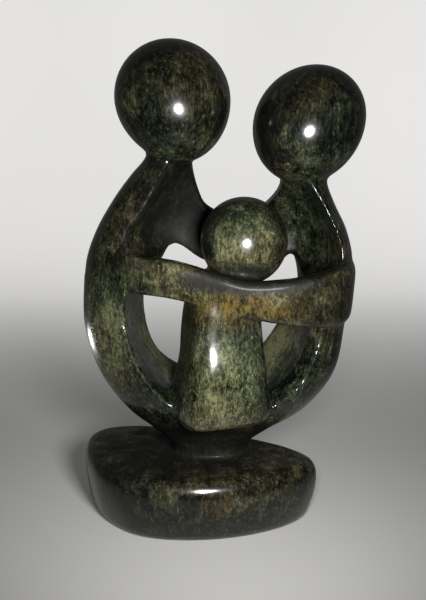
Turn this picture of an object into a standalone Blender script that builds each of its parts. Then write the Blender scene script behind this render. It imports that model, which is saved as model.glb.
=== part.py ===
import math

import bmesh
import bpy

# Sizes of the piece, in metres.
FIGURE_HEIGHT = 0.204
BASE_HEIGHT = 0.033
BASE_LENGTH = 0.120
BASE_DEPTH = 0.082
BASE_EDGE = 0.008
BASE_HEEL = 0.006
# The base's middle from the ring's own middle.
BASE_MIDDLE_X = -0.0105
BASE_MIDDLE_Y = 0.0045

# The figures are drawn in hundredths of their own height, heights counted from the base's top.
SHARE = FIGURE_HEIGHT / 100.0
# The drawing's middle, moved onto the origin when the shape is finished.
MIDDLE_X = -0.0011
MIDDLE_Y = 0.0044
# Fineness of the carved surface, and how far its edges are rubbed down.
GRAIN = 0.0013
SOFTENING = 8

for old in list(bpy.data.objects):
    bpy.data.objects.remove(old, do_unlink=True)


def between(points, steps):
    """Rows of numbers joined by a smooth curve through every row."""
    rows = []
    last = len(points) - 1
    for index in range(last):
        before = points[max(index - 1, 0)]
        start = points[index]
        end = points[index + 1]
        after = points[min(index + 2, last)]
        for step in range(steps):
            t = step / steps
            row = []
            for a, b, c, d in zip(before, start, end, after):
                bend = 2.0 * a - 5.0 * b + 4.0 * c - d
                swing = 3.0 * b - a - 3.0 * c + d
                row.append(b + 0.5 * t * (c - a + t * (bend + t * swing)))
            rows.append(row)
    rows.append(list(points[last]))
    return rows


def skin(name, rings):
    """A closed solid over a row of rings that all have the same number of points."""
    mesh = bmesh.new()
    loops = [[mesh.verts.new(point) for point in ring] for ring in rings]
    count = len(loops[0])
    for lower, upper in zip(loops, loops[1:]):
        for index in range(count):
            after = (index + 1) % count
            mesh.faces.new((lower[index], lower[after], upper[after], upper[index]))
    mesh.faces.new(list(reversed(loops[0])))
    mesh.faces.new(loops[-1])
    bmesh.ops.recalc_face_normals(mesh, faces=mesh.faces)
    data = bpy.data.meshes.new(name)
    mesh.to_mesh(data)
    mesh.free()
    thing = bpy.data.objects.new(name, data)
    bpy.context.scene.collection.objects.link(thing)
    return thing


def oval(left, right, front, back, squareness, turn, count=56):
    """Points of a rounded box outline, squareness 2 being an ellipse, turned about its middle."""
    points = []
    for index in range(count):
        angle = 2.0 * math.pi * index / count
        c = math.cos(angle)
        s = math.sin(angle)
        x = 0.5 * (right - left) * math.copysign(abs(c) ** (2.0 / squareness), c)
        y = 0.5 * (back - front) * math.copysign(abs(s) ** (2.0 / squareness), s)
        points.append((
            0.5 * (left + right) + x * math.cos(turn) - y * math.sin(turn),
            0.5 * (front + back) + x * math.sin(turn) + y * math.cos(turn),
        ))
    return points


def upright(name, stations, squareness=2.3, turn=0.0, steps=5):
    """A mass given by its height, left, right, front and back at each station."""
    rings = []
    for height, left, right, front, back in between(stations, steps):
        ring = oval(left, right, front, back, squareness, turn)
        rings.append([(x * SHARE, y * SHARE, height * SHARE) for x, y in ring])
    return skin(name, rings)


def through(name, outlines, steps=4):
    """A hole from front to back whose outline changes point for point from depth to depth."""
    rings = []
    for depth, outline in outlines:
        closed = outline[-1:] + outline + outline[:2]
        curve = between(closed, steps)[steps:-steps - 1]
        rings.append([(x * SHARE, depth * SHARE, z * SHARE) for x, z in curve])
    return skin(name, rings)


def band(name, stations, thickness, lean, steps=6):
    """A flat arm round the front, given by middle x, middle y, lower and upper edge."""
    path = between(stations, steps)
    rings = []
    for index, (x, y, low, high) in enumerate(path):
        behind = path[max(index - 1, 0)]
        ahead = path[min(index + 1, len(path) - 1)]
        along = math.hypot(ahead[0] - behind[0], ahead[1] - behind[1])
        out_x = (ahead[1] - behind[1]) / along
        out_y = -(ahead[0] - behind[0]) / along
        tip = lean * math.sin(math.pi * index / (len(path) - 1))
        ring = []
        for across, rise in oval(-0.5 * thickness, 0.5 * thickness, low, high, 5.0, 0.0, 32):
            out = across + tip * (rise - 0.5 * (low + high))
            ring.append(((x + out * out_x) * SHARE, (y + out * out_y) * SHARE, rise * SHARE))
        rings.append(ring)
    return skin(name, rings)


def egg(name, x, y, z, radius, drop, lean, pinch=0.0):
    """A head: a ball whose lower half is drawn down towards the neck."""
    mesh = bmesh.new()
    bmesh.ops.create_uvsphere(mesh, u_segments=40, v_segments=28, radius=radius * SHARE)
    for vert in mesh.verts:
        if vert.co.z < 0.0:
            low = (vert.co.z / (radius * SHARE)) ** 2
            vert.co.z *= drop
            vert.co.x *= 1.0 - pinch * low
            vert.co.x += pinch * low * radius * SHARE
        vert.co.x += vert.co.z * math.tan(lean)
    bmesh.ops.translate(mesh, verts=mesh.verts, vec=(x * SHARE, y * SHARE, z * SHARE))
    data = bpy.data.meshes.new(name)
    mesh.to_mesh(data)
    mesh.free()
    thing = bpy.data.objects.new(name, data)
    bpy.context.scene.collection.objects.link(thing)
    return thing


# The bowl that both pairs of legs make together, narrowing to the foot it stands on.
bowl = upright("bowl", [
    (-4.0, -13.5, 9.0, -3.5, 12.5),
    (2.0, -12.0, 7.5, -3.0, 12.0),
    (6.9, -16.4, 13.0, -5.4, 13.2),
    (13.2, -22.8, 21.6, -10.8, 15.0),
    (22.5, -28.9, 28.2, -14.0, 16.2),
    (34.0, -32.2, 30.3, -14.7, 16.7),
    (46.0, -31.9, 31.2, -14.7, 16.7),
])

# The taller parent on the left and the shorter one on the right, from the arms up to the neck.
left_parent = upright("left_parent", [
    (40.0, -31.9, 30.6, -14.4, 16.4),
    (49.0, -31.4, 30.0, -14.4, 16.6),
    (56.5, -28.8, 22.0, -13.0, 15.6),
    (63.7, -24.6, 11.0, -10.5, 13.4),
    (69.1, -20.6, 1.0, -7.5, 10.2),
    (74.0, -16.6, -4.0, -5.4, 6.6),
    (80.0, -15.6, -5.6, -4.9, 5.4),
])
right_parent = upright("right_parent", [
    (39.0, -31.6, 30.6, -14.4, 16.4),
    (49.0, -30.0, 31.7, -14.4, 16.6),
    (56.5, -21.0, 30.1, -13.2, 15.6),
    (63.0, -5.0, 27.0, -10.0, 12.8),
    (68.5, 10.0, 25.0, -6.4, 8.3),
    (76.0, 14.0, 24.9, -5.2, 5.8),
])

# The hollow between the parents' fronts and the arm behind, wide below and closing at the necks.
left_hollow = upright("left_hollow", [
    (44.0, -12.0, 8.0, -44.0, 9.8),
    (50.0, -16.6, 8.0, -44.0, 9.8),
    (54.0, -20.2, 8.0, -44.0, 9.6),
    (57.0, -20.9, 7.5, -44.0, 9.3),
    (60.0, -19.0, 7.0, -44.0, 8.7),
    (63.4, -16.5, 6.4, -44.0, 7.2),
    (68.0, -14.4, 5.0, -44.0, 4.2),
    (72.5, -12.7, 3.4, -44.0, 0.2),
    (76.5, -10.8, 2.0, -44.0, -3.4),
    (79.5, -8.0, 0.0, -44.0, -6.0),
], 2.6)
right_hollow = upright("right_hollow", [
    (44.0, 4.0, 25.0, -44.0, 9.8),
    (48.5, 4.0, 28.0, -44.0, 9.8),
    (52.0, 4.0, 28.5, -44.0, 9.8),
    (57.0, 4.0, 27.0, -44.0, 9.2),
    (62.0, 6.0, 24.8, -44.0, 6.2),
    (67.0, 9.0, 22.0, -44.0, 1.0),
    (70.0, 13.0, 20.0, -44.0, -4.0),
], 2.6)

# The gap between the two parents above the arm that joins them at the back.
gap_outline = [
    (-6.2, 71.3), (-4.9, 65.0), (-2.6, 60.8), (4.4, 58.1), (9.5, 60.0), (13.4, 63.8),
    (14.8, 67.6), (13.4, 73.0), (13.4, 101.0), (-6.0, 101.0), (-6.0, 78.0),
]
gap = through("gap", [(-44.0, gap_outline), (44.0, gap_outline)])

# The open middle below, from the front to the narrower arched outline at the back.
mouth_outline = [
    (-20.2, 46.4), (-21.6, 38.0), (-20.3, 30.8), (-17.0, 23.6), (-11.0, 16.8), (0.0, 14.8),
    (11.4, 14.6), (20.2, 20.2), (25.4, 29.2), (27.4, 38.0), (27.6, 45.0), (17.0, 49.5),
    (6.0, 51.0), (-4.0, 51.0), (-14.0, 50.5),
]
front_outline = [
    (-19.6, 46.0), (-20.8, 38.0), (-19.4, 31.0), (-16.2, 24.4), (-10.4, 17.6), (0.0, 15.5),
    (9.6, 16.6), (16.6, 22.6), (20.4, 30.6), (22.4, 39.0), (23.0, 45.0), (17.0, 49.5),
    (6.0, 51.0), (-4.0, 51.0), (-14.0, 50.5),
]
back_outline = [
    (-14.7, 46.8), (-18.7, 40.5), (-18.4, 30.5), (-15.2, 23.2), (-9.0, 18.9), (0.0, 17.6),
    (8.0, 20.6), (12.6, 26.2), (16.4, 32.5), (19.8, 40.5), (19.5, 46.5), (17.8, 49.0),
    (12.0, 44.0), (-3.0, 47.0), (-10.6, 52.0),
]
opening = through("opening", [
    (-44.0, mouth_outline), (-14.0, mouth_outline), (-7.0, front_outline), (12.0, back_outline),
    (44.0, back_outline),
])

# The child: a body that reaches down between the legs, and its round head.
child = upright("child", [
    (12.2, -9.7, 9.7, -14.6, 1.0),
    (14.5, -10.7, 10.7, -16.4, 2.5),
    (20.0, -10.1, 10.3, -17.2, 3.0),
    (25.0, -8.8, 9.9, -17.1, 3.0),
    (28.5, -8.2, 9.6, -16.6, 2.9),
    (32.0, -8.1, 9.3, -15.7, 2.8),
    (36.0, -7.8, 8.9, -15.2, 2.6),
    (40.0, -7.2, 8.7, -15.3, 2.4),
    (45.0, -5.8, 8.7, -15.3, 2.2),
    (47.5, -2.8, 8.9, -11.5, 2.0),
], 4.0, math.radians(17.0))
child_head = egg("child_head", 5.9, -2.6, 54.4, 10.2, 1.02, 0.0)

# The parents' heads.
left_head = egg("left_head", -10.5, 0.0, 86.5, 13.2, 1.09, math.radians(-2.0), 0.07)
right_head = egg("right_head", 20.6, 0.0, 81.3, 12.8, 1.09, math.radians(6.0))

# The arm round the front, from the left parent's shoulder down across the child to the right.
arm = band("arm", [
    (-27.2, -3.9, 43.8, 50.0),
    (-22.7, -7.9, 44.0, 50.8),
    (-17.2, -10.4, 43.5, 51.9),
    (-9.6, -12.0, 42.6, 51.3),
    (0.0, -12.9, 40.2, 48.6),
    (7.0, -13.2, 38.4, 47.0),
    (16.7, -12.9, 36.6, 47.6),
    (22.5, -11.4, 35.9, 48.6),
    (27.2, -7.6, 35.6, 49.2),
    (29.2, -1.6, 35.4, 49.4),
    (28.7, 4.4, 36.4, 49.6),
    (26.2, 9.6, 38.4, 50.0),
], 5.6, 0.12)

# The base: a boat-shaped block, drawn in towards its underside, deepest at the left behind.
base_outline = between([
    (-0.5, 0.16), (-0.5, 0.34), (-0.43, 0.47), (-0.26, 0.5), (0.0, 0.40), (0.26, 0.24), (0.42, 0.08),
    (0.5, -0.08), (0.47, -0.20), (0.37, -0.33), (0.22, -0.44), (0.04, -0.5), (-0.14, -0.49),
    (-0.28, -0.41), (-0.40, -0.22), (-0.47, 0.0), (-0.5, 0.16),
], 4)[:-1]
base_rings = []
for level in range(19):
    rise = level / 18.0
    flare = 1.0 - math.sin(0.5 * math.pi * min(rise / 0.75, 1.0))
    crown = max((rise - 0.75) / 0.25, 0.0)
    heel = max((0.17 - rise) / 0.17, 0.0)
    inward = 1.5 * BASE_EDGE * (1.0 - math.sqrt(1.0 - crown ** 2))
    inward += BASE_HEEL * (1.0 - math.sqrt(1.0 - heel ** 2))
    length = BASE_LENGTH * (1.0 - 0.07 * flare) - inward
    depth = BASE_DEPTH * (1.0 - 0.17 * flare) - inward
    base_rings.append([
        (
            BASE_MIDDLE_X - 0.0012 * flare + length * x,
            BASE_MIDDLE_Y + 0.0018 * flare + depth * y,
            BASE_HEIGHT * (1.04 * rise - 1.04),
        )
        for x, y in base_outline
    ])
base = skin("base", base_rings)

# The floor line, which leaves the underside flat.
floor = skin("floor", [
    [(-0.15, -0.15, z), (0.15, -0.15, z), (0.15, 0.15, z), (-0.15, 0.15, z)]
    for z in (-BASE_HEIGHT - 0.05, -BASE_HEIGHT)
])

group = bowl
group.name = "family_group"


def combine(other, way):
    other.hide_render = True
    other.display_type = "WIRE"
    step = group.modifiers.new(other.name, "BOOLEAN")
    step.operation = way
    step.solver = "EXACT"
    step.object = other


combine(left_parent, "UNION")
combine(right_parent, "UNION")
combine(left_hollow, "DIFFERENCE")
combine(right_hollow, "DIFFERENCE")
combine(gap, "DIFFERENCE")
combine(opening, "DIFFERENCE")
combine(child, "UNION")
combine(child_head, "UNION")
combine(left_head, "UNION")
combine(right_head, "UNION")
combine(arm, "UNION")
combine(base, "UNION")

grain = group.modifiers.new("grain", "REMESH")
grain.mode = "VOXEL"
grain.voxel_size = GRAIN
grain.adaptivity = 0.0

soften = group.modifiers.new("soften", "SMOOTH")
soften.factor = 0.5
soften.iterations = SOFTENING

thin = group.modifiers.new("thin", "DECIMATE")
thin.decimate_type = "COLLAPSE"
thin.ratio = 0.055

combine(floor, "DIFFERENCE")

stone = bpy.data.materials.new("polished_serpentine")
stone.use_nodes = True
shader = stone.node_tree.nodes["Principled BSDF"]
shader.inputs["Base Color"].default_value = (0.045, 0.06, 0.035, 1.0)
shader.inputs["Roughness"].default_value = 0.2
group.data.materials.append(stone)
for face in group.data.polygons:
    face.use_smooth = True

for thing in bpy.data.objects:
    thing.location = (-MIDDLE_X, -MIDDLE_Y, BASE_HEIGHT)
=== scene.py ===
import math

import bmesh
import bpy
from mathutils import Matrix, Vector


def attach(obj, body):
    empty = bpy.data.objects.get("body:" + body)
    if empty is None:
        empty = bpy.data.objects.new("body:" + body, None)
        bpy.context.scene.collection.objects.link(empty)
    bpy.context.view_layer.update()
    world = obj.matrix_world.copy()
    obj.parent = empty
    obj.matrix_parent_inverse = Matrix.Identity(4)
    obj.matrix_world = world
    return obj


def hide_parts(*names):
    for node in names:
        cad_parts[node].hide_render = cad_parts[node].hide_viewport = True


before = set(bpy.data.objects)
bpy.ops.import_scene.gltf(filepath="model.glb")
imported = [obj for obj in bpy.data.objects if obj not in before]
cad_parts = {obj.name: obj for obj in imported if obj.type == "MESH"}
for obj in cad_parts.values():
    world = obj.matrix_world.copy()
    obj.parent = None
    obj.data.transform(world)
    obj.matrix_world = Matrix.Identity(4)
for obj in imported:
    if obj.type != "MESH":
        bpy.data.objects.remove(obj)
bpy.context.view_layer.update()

# The carving
# Two parents and their child with the base under them, all cut from one block of stone. The masses
# are roughed out as full forms, the hollows and gaps are cut through, and the whole is rubbed down.
FIGURE_HEIGHT = 0.204
# The figures are drawn in hundredths of their own height, heights counted from the base's top.
SHARE = FIGURE_HEIGHT / 100.0
# The drawing's middle, moved onto the origin when the shape is finished.
MIDDLE_X = -0.0011
MIDDLE_Y = 0.0044
# Fineness of the carved surface, how far its edges are rubbed down, and points round and along it.
GRAIN = 0.0012
RUBBING = 8
AROUND = 120
ALONG = 12
# Far enough past the stone, in front and behind, for a cut to go right through it.
CLEAR = 44.0


def between(points, steps):
    """Rows of numbers joined by a smooth curve through every row."""
    rows = []
    last = len(points) - 1
    for index in range(last):
        before = points[max(index - 1, 0)]
        start = points[index]
        end = points[index + 1]
        after = points[min(index + 2, last)]
        for step in range(steps):
            t = step / steps
            row = []
            for a, b, c, d in zip(before, start, end, after):
                bend = 2.0 * a - 5.0 * b + 4.0 * c - d
                swing = 3.0 * b - a - 3.0 * c + d
                row.append(b + 0.5 * t * (c - a + t * (bend + t * swing)))
            rows.append(row)
    rows.append(list(points[last]))
    return rows


def skin(name, rings):
    """A closed solid over a row of rings that all have the same number of points."""
    mesh = bmesh.new()
    loops = [[mesh.verts.new(point) for point in ring] for ring in rings]
    count = len(loops[0])
    for lower, upper in zip(loops, loops[1:]):
        for index in range(count):
            after = (index + 1) % count
            mesh.faces.new((lower[index], lower[after], upper[after], upper[index]))
    mesh.faces.new(list(reversed(loops[0])))
    mesh.faces.new(loops[-1])
    bmesh.ops.recalc_face_normals(mesh, faces=mesh.faces)
    data = bpy.data.meshes.new(name)
    mesh.to_mesh(data)
    mesh.free()
    thing = bpy.data.objects.new(name, data)
    bpy.context.scene.collection.objects.link(thing)
    return thing


def oval(left, right, front, back, squareness, turn, count):
    """Points of a rounded box outline, squareness 2 being an ellipse, turned about its middle."""
    points = []
    for index in range(count):
        angle = 2.0 * math.pi * index / count
        c = math.cos(angle)
        s = math.sin(angle)
        x = 0.5 * (right - left) * math.copysign(abs(c) ** (2.0 / squareness), c)
        y = 0.5 * (back - front) * math.copysign(abs(s) ** (2.0 / squareness), s)
        points.append((
            0.5 * (left + right) + x * math.cos(turn) - y * math.sin(turn),
            0.5 * (front + back) + x * math.sin(turn) + y * math.cos(turn),
        ))
    return points


def upright(name, stations, squareness=2.3, turn=0.0):
    """A mass given by its height, left, right, front and back at each station."""
    rings = []
    for height, left, right, front, back in between(stations, ALONG):
        ring = oval(left, right, front, back, squareness, turn, AROUND)
        rings.append([(x * SHARE, y * SHARE, height * SHARE) for x, y in ring])
    return skin(name, rings)


def through(name, outlines):
    """A hole from front to back whose outline changes point for point from depth to depth."""
    rings = []
    for depth, outline in outlines:
        closed = outline[-1:] + outline + outline[:2]
        curve = between(closed, ALONG)[ALONG:-ALONG - 1]
        rings.append([(x * SHARE, depth * SHARE, z * SHARE) for x, z in curve])
    return skin(name, rings)


def band(name, stations, thickness, lean):
    """A flat arm round the front, given by middle x, middle y, lower and upper edge."""
    path = between(stations, ALONG)
    rings = []
    for index, (x, y, low, high) in enumerate(path):
        behind = path[max(index - 1, 0)]
        ahead = path[min(index + 1, len(path) - 1)]
        along = math.hypot(ahead[0] - behind[0], ahead[1] - behind[1])
        out_x = (ahead[1] - behind[1]) / along
        out_y = -(ahead[0] - behind[0]) / along
        tip = lean * math.sin(math.pi * index / (len(path) - 1))
        ring = []
        for across, rise in oval(-0.5 * thickness, 0.5 * thickness, low, high, 5.0, 0.0, 64):
            out = across + tip * (rise - 0.5 * (low + high))
            ring.append(((x + out * out_x) * SHARE, (y + out * out_y) * SHARE, rise * SHARE))
        rings.append(ring)
    return skin(name, rings)


def egg(name, x, y, z, radius, drop, lean, pinch=0.0):
    """A head: a ball whose lower half is drawn down towards the neck."""
    mesh = bmesh.new()
    bmesh.ops.create_uvsphere(mesh, u_segments=AROUND, v_segments=AROUND // 2, radius=radius * SHARE)
    for vert in mesh.verts:
        if vert.co.z < 0.0:
            low = (vert.co.z / (radius * SHARE)) ** 2
            vert.co.z *= drop
            vert.co.x *= 1.0 - pinch * low
            vert.co.x += pinch * low * radius * SHARE
        vert.co.x += vert.co.z * math.tan(lean)
    bmesh.ops.translate(mesh, verts=mesh.verts, vec=(x * SHARE, y * SHARE, z * SHARE))
    data = bpy.data.meshes.new(name)
    mesh.to_mesh(data)
    mesh.free()
    thing = bpy.data.objects.new(name, data)
    bpy.context.scene.collection.objects.link(thing)
    return thing


# The bowl that both pairs of legs make together, narrowing to the foot it stands on.
bowl = upright("bowl", [
    (-4.0, -13.5, 9.0, -3.5, 12.5),
    (2.0, -12.0, 7.5, -3.0, 12.0),
    (6.9, -16.4, 13.0, -5.4, 13.2),
    (13.2, -22.8, 21.6, -10.8, 15.0),
    (22.5, -28.9, 28.2, -14.0, 16.2),
    (34.0, -32.2, 30.3, -14.7, 16.7),
    (46.0, -31.9, 31.2, -14.7, 16.7),
])

# The taller parent on the left and the shorter one on the right, from the arms up to the neck.
left_parent = upright("left_parent", [
    (40.0, -31.9, 30.6, -14.4, 16.4),
    (49.0, -31.4, 30.0, -14.4, 16.6),
    (56.5, -28.8, 22.0, -13.0, 15.6),
    (63.7, -24.6, 11.0, -10.5, 13.4),
    (69.1, -20.6, 1.0, -7.5, 10.2),
    (74.0, -16.6, -4.0, -5.4, 6.6),
    (80.0, -15.6, -5.6, -4.9, 5.4),
])
right_parent = upright("right_parent", [
    (39.0, -31.6, 30.6, -14.4, 16.4),
    (49.0, -30.0, 31.7, -14.4, 16.6),
    (56.5, -21.0, 30.1, -13.2, 15.6),
    (63.0, -5.0, 27.0, -10.0, 12.8),
    (68.5, 10.0, 25.0, -6.4, 8.3),
    (76.0, 14.0, 24.9, -5.2, 5.8),
])

# The hollows under the parents' heads, wide at the arm and closing at the necks.
left_hollow = upright("left_hollow", [
    (44.0, -12.0, 8.0, -CLEAR, 9.8),
    (50.0, -16.6, 8.0, -CLEAR, 9.8),
    (54.0, -20.2, 8.0, -CLEAR, 9.6),
    (57.0, -20.9, 7.5, -CLEAR, 9.3),
    (60.0, -19.0, 7.0, -CLEAR, 8.7),
    (63.4, -16.5, 6.4, -CLEAR, 7.2),
    (68.0, -14.4, 5.0, -CLEAR, 4.2),
    (72.5, -12.7, 3.4, -CLEAR, 0.2),
    (76.5, -10.8, 2.0, -CLEAR, -3.4),
    (79.5, -8.0, 0.0, -CLEAR, -6.0),
], 2.6)
right_hollow = upright("right_hollow", [
    (44.0, 4.0, 25.0, -CLEAR, 9.8),
    (48.5, 4.0, 28.0, -CLEAR, 9.8),
    (52.0, 4.0, 28.5, -CLEAR, 9.8),
    (57.0, 4.0, 27.0, -CLEAR, 9.2),
    (62.0, 6.0, 24.8, -CLEAR, 6.2),
    (67.0, 9.0, 22.0, -CLEAR, 1.0),
    (70.0, 13.0, 20.0, -CLEAR, -4.0),
], 2.6)

# The gap between the two parents above the child.
gap_outline = [
    (-6.2, 71.3), (-4.9, 65.0), (-2.6, 60.8), (4.4, 58.1), (9.5, 60.0), (13.4, 63.8),
    (14.8, 67.6), (13.4, 73.0), (13.4, 101.0), (-6.0, 101.0), (-6.0, 78.0),
]
gap = through("gap", [(-CLEAR, gap_outline), (CLEAR, gap_outline)])

# The open middle below, from the front to the narrower arched outline at the back.
mouth_outline = [
    (-20.2, 46.4), (-21.6, 38.0), (-20.3, 30.8), (-17.0, 23.6), (-11.0, 16.8), (0.0, 14.8),
    (11.4, 14.6), (20.2, 20.2), (25.4, 29.2), (27.4, 38.0), (27.6, 45.0), (17.0, 49.5),
    (6.0, 51.0), (-4.0, 51.0), (-14.0, 50.5),
]
front_outline = [
    (-19.6, 46.0), (-20.8, 38.0), (-19.4, 31.0), (-16.2, 24.4), (-10.4, 17.6), (0.0, 15.5),
    (9.6, 16.6), (16.6, 22.6), (20.4, 30.6), (22.4, 39.0), (23.0, 45.0), (17.0, 49.5),
    (6.0, 51.0), (-4.0, 51.0), (-14.0, 50.5),
]
back_outline = [
    (-14.7, 46.8), (-18.7, 40.5), (-18.4, 30.5), (-15.2, 23.2), (-9.0, 18.9), (0.0, 17.6),
    (8.0, 20.6), (12.6, 26.2), (16.4, 32.5), (19.8, 40.5), (19.5, 46.5), (17.8, 49.0),
    (12.0, 44.0), (-3.0, 47.0), (-10.6, 52.0),
]
opening = through("opening", [
    (-CLEAR, mouth_outline), (-14.0, mouth_outline), (-7.0, front_outline), (12.0, back_outline),
    (CLEAR, back_outline),
])

# The child: a body that reaches down between the legs, and its round head.
child = upright("child", [
    (12.2, -9.7, 9.7, -14.6, 1.0),
    (14.5, -10.7, 10.7, -16.4, 2.5),
    (20.0, -10.1, 10.3, -17.2, 3.0),
    (25.0, -8.8, 9.9, -17.1, 3.0),
    (28.5, -8.2, 9.6, -16.6, 2.9),
    (32.0, -8.1, 9.3, -15.7, 2.8),
    (36.0, -7.8, 8.9, -15.2, 2.6),
    (40.0, -7.2, 8.7, -15.0, 2.4),
    (45.0, -5.8, 8.7, -14.3, 2.2),
    (47.5, -2.8, 8.9, -11.5, 2.0),
], 4.0, math.radians(17.0))
child_head = egg("child_head", 5.9, -2.6, 54.4, 10.2, 1.02, 0.0)

# The parents' heads, plain balls without faces.
left_head = egg("left_head", -10.5, 0.0, 86.5, 13.2, 1.09, math.radians(-2.0), 0.07)
right_head = egg("right_head", 20.6, 0.0, 81.3, 12.8, 1.09, math.radians(6.0))

# The arm round the front, from the left parent's shoulder down across the child to the right.
arm = band("arm", [
    (-27.2, -3.9, 43.8, 50.0),
    (-22.7, -7.9, 44.0, 50.8),
    (-17.2, -10.4, 43.5, 51.9),
    (-9.6, -12.0, 42.6, 51.3),
    (0.0, -12.9, 40.2, 48.6),
    (7.0, -13.2, 38.4, 47.0),
    (16.7, -12.9, 36.6, 47.6),
    (22.5, -11.4, 35.9, 48.6),
    (27.2, -7.6, 35.6, 49.2),
    (29.2, -1.6, 35.4, 49.4),
    (28.7, 4.4, 36.4, 49.6),
    (26.2, 9.6, 38.4, 50.0),
], 5.6, 0.12)

# The base: a boat-shaped block, drawn in towards its underside, deepest at the left behind.
BASE_HEIGHT = 0.033
BASE_LENGTH = 0.120
BASE_DEPTH = 0.082
BASE_EDGE = 0.008
BASE_HEEL = 0.006
# The base's middle from the ring's own middle.
BASE_MIDDLE_X = -0.0105
BASE_MIDDLE_Y = 0.0045
# Steps up its side, the rise where the top edge starts to round and the rise that the heel takes.
LEVELS = 36
CROWN_RISE = 0.75
HEEL_RISE = 0.17
# How much shorter and narrower it is at its underside, and how far that end is shifted.
DRAWN_IN_LENGTH = 0.07
DRAWN_IN_DEPTH = 0.17
SHIFT_LEFT = 0.0012
SHIFT_BACK = 0.0018
# Its sides run on past the underside, which is sawn flat later.
OVERRUN = 1.04
base_outline = between([
    (-0.5, 0.16), (-0.5, 0.34), (-0.43, 0.47), (-0.26, 0.5), (0.0, 0.40), (0.26, 0.24), (0.42, 0.08),
    (0.5, -0.08), (0.47, -0.20), (0.37, -0.33), (0.22, -0.44), (0.04, -0.5), (-0.14, -0.49),
    (-0.28, -0.41), (-0.40, -0.22), (-0.47, 0.0), (-0.5, 0.16),
], ALONG)[:-1]
base_rings = []
for level in range(LEVELS + 1):
    rise = level / LEVELS
    flare = 1.0 - math.sin(0.5 * math.pi * min(rise / CROWN_RISE, 1.0))
    crown = max((rise - CROWN_RISE) / (1.0 - CROWN_RISE), 0.0)
    heel = max((HEEL_RISE - rise) / HEEL_RISE, 0.0)
    inward = 1.5 * BASE_EDGE * (1.0 - math.sqrt(1.0 - crown ** 2))
    inward += BASE_HEEL * (1.0 - math.sqrt(1.0 - heel ** 2))
    length = BASE_LENGTH * (1.0 - DRAWN_IN_LENGTH * flare) - inward
    depth = BASE_DEPTH * (1.0 - DRAWN_IN_DEPTH * flare) - inward
    base_rings.append([
        (
            BASE_MIDDLE_X - SHIFT_LEFT * flare + length * x,
            BASE_MIDDLE_Y + SHIFT_BACK * flare + depth * y,
            BASE_HEIGHT * (OVERRUN * rise - OVERRUN),
        )
        for x, y in base_outline
    ])
base = skin("base", base_rings)

# The masses joined and the hollows cut, then the whole surface evened and rubbed down.
for form, way in (
    (left_parent, "UNION"), (right_parent, "UNION"), (left_hollow, "DIFFERENCE"),
    (right_hollow, "DIFFERENCE"), (gap, "DIFFERENCE"), (opening, "DIFFERENCE"), (child, "UNION"),
    (child_head, "UNION"), (left_head, "UNION"), (right_head, "UNION"), (arm, "UNION"), (base, "UNION"),
):
    cut = bowl.modifiers.new(form.name, "BOOLEAN")
    cut.operation = way
    cut.solver = "EXACT"
    cut.object = form
grain = bowl.modifiers.new("grain", "REMESH")
grain.mode = "VOXEL"
grain.voxel_size = GRAIN
soften = bowl.modifiers.new("soften", "SMOOTH")
soften.factor = 0.5
soften.iterations = RUBBING

graph = bpy.context.evaluated_depsgraph_get()
shape = bpy.data.meshes.new_from_object(bowl.evaluated_get(graph))
for form in (
    bowl, left_parent, right_parent, left_hollow, right_hollow, gap, opening, child, child_head,
    left_head, right_head, arm, base,
):
    bpy.data.objects.remove(form, do_unlink=True)
shape.transform(Matrix.Translation((-MIDDLE_X, -MIDDLE_Y, BASE_HEIGHT)))

# The underside sawn flat, where the base rests.
carving_mesh = bmesh.new()
carving_mesh.from_mesh(shape)
sole = bmesh.ops.bisect_plane(
    carving_mesh, geom=carving_mesh.verts[:] + carving_mesh.edges[:] + carving_mesh.faces[:],
    plane_co=(0.0, 0.0, 0.0), plane_no=(0.0, 0.0, 1.0), clear_inner=True,
)
rim = [item for item in sole["geom_cut"] if isinstance(item, bmesh.types.BMEdge)]
bmesh.ops.edgeloop_fill(carving_mesh, edges=rim)
bmesh.ops.recalc_face_normals(carving_mesh, faces=carving_mesh.faces)
for face in carving_mesh.faces:
    face.smooth = True
shape.clear_geometry()
carving_mesh.to_mesh(shape)
carving_mesh.free()
shape.name = "stone_family"
carving = bpy.data.objects.new("stone_family", shape)
bpy.context.scene.collection.objects.link(carving)

# The stone
# Polished serpentine: near-black green with fine olive and grey-green mottling, browner in broad
# areas, paler in the child, with an ochre stain across the arm and a small one on the base. It is
# waxed to a shine on the outside and left duller in the hollows and round the foot.
stone = bpy.data.materials.new("polished_serpentine")
stone.use_nodes = True
tree = stone.node_tree
shader = tree.nodes["Principled BSDF"]
place = tree.nodes.new("ShaderNodeTexCoord").outputs["Object"]


def noise(scale, detail, roughness, stretch=(1.0, 1.0, 1.0), shift=(0.0, 0.0, 0.0), distortion=0.0):
    """Cloudy pattern from 0 to 1 with features of about 1 / scale metres."""
    mapping = tree.nodes.new("ShaderNodeMapping")
    mapping.inputs["Scale"].default_value = stretch
    mapping.inputs["Location"].default_value = shift
    tree.links.new(place, mapping.inputs["Vector"])
    cloud = tree.nodes.new("ShaderNodeTexNoise")
    cloud.inputs["Scale"].default_value = scale
    cloud.inputs["Detail"].default_value = detail
    cloud.inputs["Roughness"].default_value = roughness
    cloud.inputs["Distortion"].default_value = distortion
    tree.links.new(mapping.outputs["Vector"], cloud.inputs["Vector"])
    return cloud.outputs["Fac"]


def reckon(way, first, second):
    """One sum on two values, each a socket or a number."""
    step = tree.nodes.new("ShaderNodeMath")
    step.operation = way
    for slot, value in enumerate((first, second)):
        if isinstance(value, (int, float)):
            step.inputs[slot].default_value = value
        else:
            tree.links.new(value, step.inputs[slot])
    return step.outputs["Value"]


def most(*values):
    """The greatest of several values."""
    greatest = values[0]
    for value in values[1:]:
        greatest = reckon("MAXIMUM", greatest, value)
    return greatest


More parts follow.
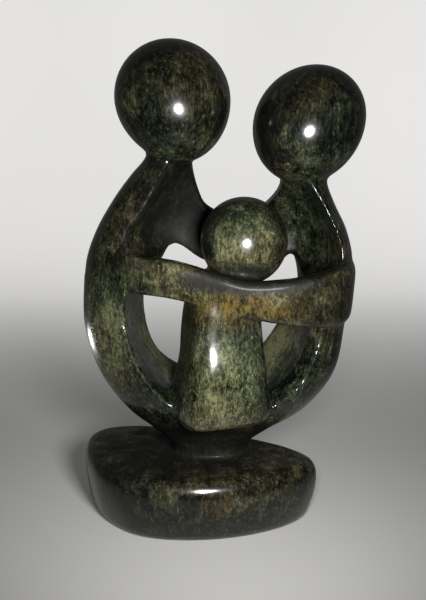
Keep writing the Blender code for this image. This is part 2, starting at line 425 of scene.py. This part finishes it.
def span(value, low, high, to_low=0.0, to_high=1.0):
    """A value stretched smoothly from one range onto another and held at its ends."""
    reach = tree.nodes.new("ShaderNodeMapRange")
    reach.interpolation_type = "SMOOTHSTEP"
    tree.links.new(value, reach.inputs["Value"])
    reach.inputs["From Min"].default_value = low
    reach.inputs["From Max"].default_value = high
    reach.inputs["To Min"].default_value = to_low
    reach.inputs["To Max"].default_value = to_high
    return reach.outputs["Result"]


def patch(middle, size, edge_cloud, ragged):
    """1 inside a ragged oval patch of the stone, fading to 0 round it."""
    offset = tree.nodes.new("ShaderNodeVectorMath")
    offset.operation = "SUBTRACT"
    tree.links.new(place, offset.inputs[0])
    offset.inputs[1].default_value = middle
    shrink = tree.nodes.new("ShaderNodeVectorMath")
    shrink.operation = "DIVIDE"
    tree.links.new(offset.outputs["Vector"], shrink.inputs[0])
    shrink.inputs[1].default_value = size
    reach = tree.nodes.new("ShaderNodeVectorMath")
    reach.operation = "LENGTH"
    tree.links.new(shrink.outputs["Vector"], reach.inputs[0])
    wander = reckon("MULTIPLY", reckon("SUBTRACT", edge_cloud, 0.5), ragged)
    return span(reckon("ADD", reach.outputs["Value"], wander), 0.55, 1.15, 1.0, 0.0)


def tint(fac, under, over):
    """One colour laid over another, each a socket or a colour."""
    mix = tree.nodes.new("ShaderNodeMix")
    mix.data_type = "RGBA"
    tree.links.new(fac, mix.inputs["Factor"])
    for slot, value in (("A", under), ("B", over)):
        socket = [item for item in mix.inputs if item.name == slot and item.type == "RGBA"][0]
        if isinstance(value, tuple):
            socket.default_value = value
        else:
            tree.links.new(value, socket)
    return [item for item in mix.outputs if item.type == "RGBA"][0]


broad = noise(22.0, 2.0, 0.5, shift=(3.1, 1.7, 0.4))
cloudy = noise(135.0, 4.0, 0.6, stretch=(1.0, 1.0, 0.7), distortion=0.6)
grains = noise(640.0, 6.0, 0.78, stretch=(1.2, 1.0, 0.55), shift=(0.3, 0.8, 0.2), distortion=0.5)
flecks = noise(900.0, 3.0, 0.65, stretch=(1.2, 1.0, 0.55), shift=(0.9, 0.1, 0.5))

# Where the stone is paler: the child, the arm and the left leg, the left leg's patch partly paler stone
# and partly painted light.
child_light = patch((0.007, -0.030, 0.150), (0.026, 0.040, 0.026), cloudy, 0.8)
body_light = patch((0.000, -0.038, 0.080), (0.026, 0.030, 0.036), cloudy, 1.3)
leg_light = patch((-0.058, -0.020, 0.100), (0.020, 0.050, 0.034), cloudy, 0.9)
arm_light = patch((-0.012, -0.040, 0.123), (0.052, 0.030, 0.022), cloudy, 0.8)
# The left leg's patch counts half as much again: painted light over its paler stone.
pale = most(
    child_light, body_light, reckon("MULTIPLY", arm_light, 0.5), reckon("MULTIPLY", leg_light, 1.5),
)

# How light the stone is from place to place, with painted light on the legs' inner faces in the open
# middle, and the colours that this gives.
# Painted light: the legs' inner faces in the open middle, turned away from the lamp, are made lighter;
# the same patch dulls the shine there.
inside = patch((0.002, 0.010, 0.098), (0.052, 0.030, 0.042), cloudy, 0.2)
lightness = reckon("ADD", reckon("MULTIPLY", cloudy, 0.72), reckon("MULTIPLY", broad, 0.28))
lightness = reckon("ADD", lightness, reckon("MULTIPLY", inside, 0.30))
lightness = reckon("ADD", lightness, reckon("MULTIPLY", reckon("SUBTRACT", grains, 0.525), 1.15))
lightness = reckon("ADD", lightness, reckon("MULTIPLY", pale, 0.13))
NEAR_BLACK = (0.0010, 0.0014, 0.0010, 1.0)
OLIVE = (0.0165, 0.0200, 0.0105, 1.0)
BROWN_OLIVE = (0.0215, 0.0190, 0.0092, 1.0)
PALE_GREEN = (0.086, 0.095, 0.046, 1.0)
PALE_BROWN = (0.094, 0.090, 0.046, 1.0)
FLECK = (0.17, 0.17, 0.11, 1.0)
warm = span(broad, 0.44, 0.60)
green = tint(span(lightness, 0.32, 0.66), NEAR_BLACK, tint(warm, OLIVE, BROWN_OLIVE))
green = tint(span(lightness, 0.54, 0.90), green, tint(warm, PALE_GREEN, PALE_BROWN))
speckle = reckon("MULTIPLY", span(flecks, 0.60, 0.74), span(lightness, 0.36, 0.66))
green = tint(reckon("MULTIPLY", speckle, 0.75), green, FLECK)

# The ochre stains on the arm and the base, and a mossy one low on the child.
OCHRE = (0.062, 0.040, 0.008, 1.0)
MOSS = (0.070, 0.082, 0.026, 1.0)
ochre_place = patch((0.010, -0.040, 0.117), (0.032, 0.030, 0.010), cloudy, 2.8)
base_ochre = patch((0.000, -0.037, 0.021), (0.008, 0.020, 0.008), cloudy, 1.9)
ochre_veins = span(lightness, 0.40, 0.74, 0.05, 0.95)
colour = tint(reckon("MULTIPLY", most(ochre_place, base_ochre), ochre_veins), green, OCHRE)
moss_place = patch((0.004, -0.040, 0.080), (0.018, 0.020, 0.015), cloudy, 2.0)
moss_veins = span(grains, 0.46, 0.68, 0.0, 0.6)
colour = tint(reckon("MULTIPLY", moss_place, moss_veins), colour, MOSS)

# Painted shade in the hollow under the left head and by its neck, under the bowl round the foot and in
# the arm's nook under the child's head; the right cheek, the base's heel and the arm's elbow are made
# darker too.
DARK = (0.0026, 0.0028, 0.0026, 1.0)
# Painted shade by the left parent's neck.
shade = patch((-0.010, -0.004, 0.160), (0.030, 0.030, 0.030), cloudy, 0.8)
# Painted shade under the bowl, round the foot.
foot = patch((-0.012, 0.002, 0.043), (0.072, 0.050, 0.018), cloudy, 0.4)
# Painted shade in the hollow under the left head.
hollow = patch((-0.016, 0.008, 0.151), (0.030, 0.026, 0.026), cloudy, 0.4)
cheek = patch((0.016, -0.008, 0.196), (0.020, 0.032, 0.032), cloudy, 0.6)
# Painted shadow of the child's head on the arm's top.
nook = patch((0.016, -0.034, 0.1300), (0.038, 0.020, 0.0075), cloudy, 0.3)
brink = patch((-0.038, -0.022, 0.150), (0.013, 0.020, 0.026), cloudy, 0.3)
heel_end = patch((-0.055, -0.022, 0.018), (0.028, 0.034, 0.026), cloudy, 0.7)
elbow = patch((0.052, -0.028, 0.118), (0.026, 0.034, 0.018), cloudy, 0.7)
dark = most(
    shade, foot, hollow, cheek, nook,
    reckon("MULTIPLY", heel_end, 0.7), reckon("MULTIPLY", elbow, 0.45),
)
# The dark colour laid on: painted shade at the neck, foot, hollow and nook, plain darkening at the
# cheek, heel and elbow.
colour = tint(reckon("MULTIPLY", dark, 0.82), colour, DARK)
tree.links.new(colour, shader.inputs["Base Color"])

# The shine, dulled where a cloth and a finger don't reach.
rough = most(inside, foot, hollow, nook, brink)
tree.links.new(span(rough, 0.0, 0.8, 0.65, 0.03), shader.inputs["Coat Weight"])
polish = span(grains, 0.3, 0.7, 0.24, 0.32)
tree.links.new(reckon("ADD", polish, reckon("MULTIPLY", rough, 0.35)), shader.inputs["Roughness"])
shader.inputs["Specular IOR Level"].default_value = 0.10
shader.inputs["IOR"].default_value = 1.5
shader.inputs["Coat Roughness"].default_value = 0.14
shader.inputs["Coat IOR"].default_value = 1.5
pits = tree.nodes.new("ShaderNodeBump")
pits.inputs["Strength"].default_value = 0.07
pits.inputs["Distance"].default_value = 0.0002
tree.links.new(reckon("ADD", grains, reckon("MULTIPLY", cloudy, 1.5)), pits.inputs["Height"])
tree.links.new(pits.outputs["Normal"], shader.inputs["Normal"])
shape.materials.append(stone)
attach(carving, "root")
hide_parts("family_group")

# The ground
# A plain pale sheet that lies flat under the piece and curves up behind it, glowing faintly at the
# front and most at the back, its glow dimmer in the stone's polish than by the eye.
SWEEP = 0.25
SHEET_BACK = 0.75
SHEET_TOP = 2.2
SHEET_FRONT = -1.6
HALF_WIDTH = 2.5
turns = [0.025 * math.pi * step for step in range(21)]
profile = [(SHEET_FRONT, 0.0)]
profile += [(SHEET_BACK - SWEEP + SWEEP * math.sin(a), SWEEP - SWEEP * math.cos(a)) for a in turns]
profile += [(SHEET_BACK, SHEET_TOP)]
sheet_mesh = bpy.data.meshes.new("floor")
sheet_mesh.from_pydata(
    [(x, y, z) for x in (-HALF_WIDTH, HALF_WIDTH) for y, z in profile], [],
    [(i, i + len(profile), i + len(profile) + 1, i + 1) for i in range(len(profile) - 1)],
)
sheet = bpy.data.objects.new("floor", sheet_mesh)
bpy.context.scene.collection.objects.link(sheet)
for polygon in sheet_mesh.polygons:
    polygon.use_smooth = True
plaster = bpy.data.materials.new("pale_glowing_plaster")
plaster.use_nodes = True
nodes = plaster.node_tree.nodes
links = plaster.node_tree.links
plain = nodes["Principled BSDF"]
plain.inputs["Base Color"].default_value = (0.37, 0.365, 0.345, 1.0)
plain.inputs["Roughness"].default_value = 0.9
plain.inputs["Emission Color"].default_value = (1.0, 0.99, 0.98, 1.0)
axes = nodes.new("ShaderNodeSeparateXYZ")
links.new(nodes.new("ShaderNodeTexCoord").outputs["Object"], axes.inputs["Vector"])
# Painted light: the sheet glows, its glow rising from the front to the back.
glow = nodes.new("ShaderNodeMapRange")
glow.interpolation_type = "SMOOTHSTEP"
links.new(axes.outputs["Y"], glow.inputs["Value"])
glow.inputs["From Min"].default_value = 0.05
glow.inputs["From Max"].default_value = SHEET_BACK
glow.inputs["To Min"].default_value = 0.07
glow.inputs["To Max"].default_value = 0.74
dim = nodes.new("ShaderNodeMapRange")
links.new(nodes.new("ShaderNodeLightPath").outputs["Is Camera Ray"], dim.inputs["Value"])
dim.inputs["To Min"].default_value = 0.09
shine = nodes.new("ShaderNodeMath")
shine.operation = "MULTIPLY"
links.new(glow.outputs["Result"], shine.inputs[0])
links.new(dim.outputs["Result"], shine.inputs[1])
links.new(shine.outputs["Value"], plain.inputs["Emission Strength"])
sheet_mesh.materials.append(plaster)


# The light
# One small round lamp close in front, as high as the child's head, a faint one low behind the left
# leg that draws a line down its edge, and a little light from all round.
def lamp(name, stand, aim, size, watts, spread):
    """A round light turned towards a point, kept out of the camera's view."""
    light = bpy.data.lights.new(name, "AREA")
    light.shape = "DISK"
    light.size = size
    light.energy = watts
    light.spread = math.radians(spread)
    thing = bpy.data.objects.new(name, light)
    thing.location = stand
    thing.rotation_euler = (Vector(aim) - Vector(stand)).to_track_quat("-Z", "Y").to_euler()
    thing.visible_camera = False
    bpy.context.scene.collection.objects.link(thing)


lamp("key", (0.030, -0.225, 0.148), (0.0, 0.0, 0.115), 0.060, 0.62, 110.0)
lamp("rim", (-0.190, 0.090, 0.030), (-0.066, 0.0, 0.084), 0.010, 0.006, 30.0)
world = bpy.data.worlds.new("studio")
world.use_nodes = True
world.node_tree.nodes["Background"].inputs["Color"].default_value = (0.9, 0.95, 1.0, 1.0)
world.node_tree.nodes["Background"].inputs["Strength"].default_value = 0.055
bpy.context.scene.world = world
bpy.context.scene.view_settings.view_transform = "Standard"

# The camera stands close in front, as high as the right head, tipped down thirteen degrees.
EYE_HEIGHT = 0.2072
EYE_AWAY = 0.4044
EYE_LEFT = 0.0027
TIP_DOWN = 13.0
eye = bpy.data.cameras.new("camera")
eye.sensor_width = 36.0
eye.lens = 51.0
eye_thing = bpy.data.objects.new("camera", eye)
eye_thing.location = (-EYE_LEFT - MIDDLE_X, -EYE_AWAY - MIDDLE_Y, EYE_HEIGHT)
eye_thing.rotation_euler = (math.radians(90.0 - TIP_DOWN), 0.0, 0.0)
bpy.context.scene.collection.objects.link(eye_thing)
bpy.context.scene.camera = eye_thing
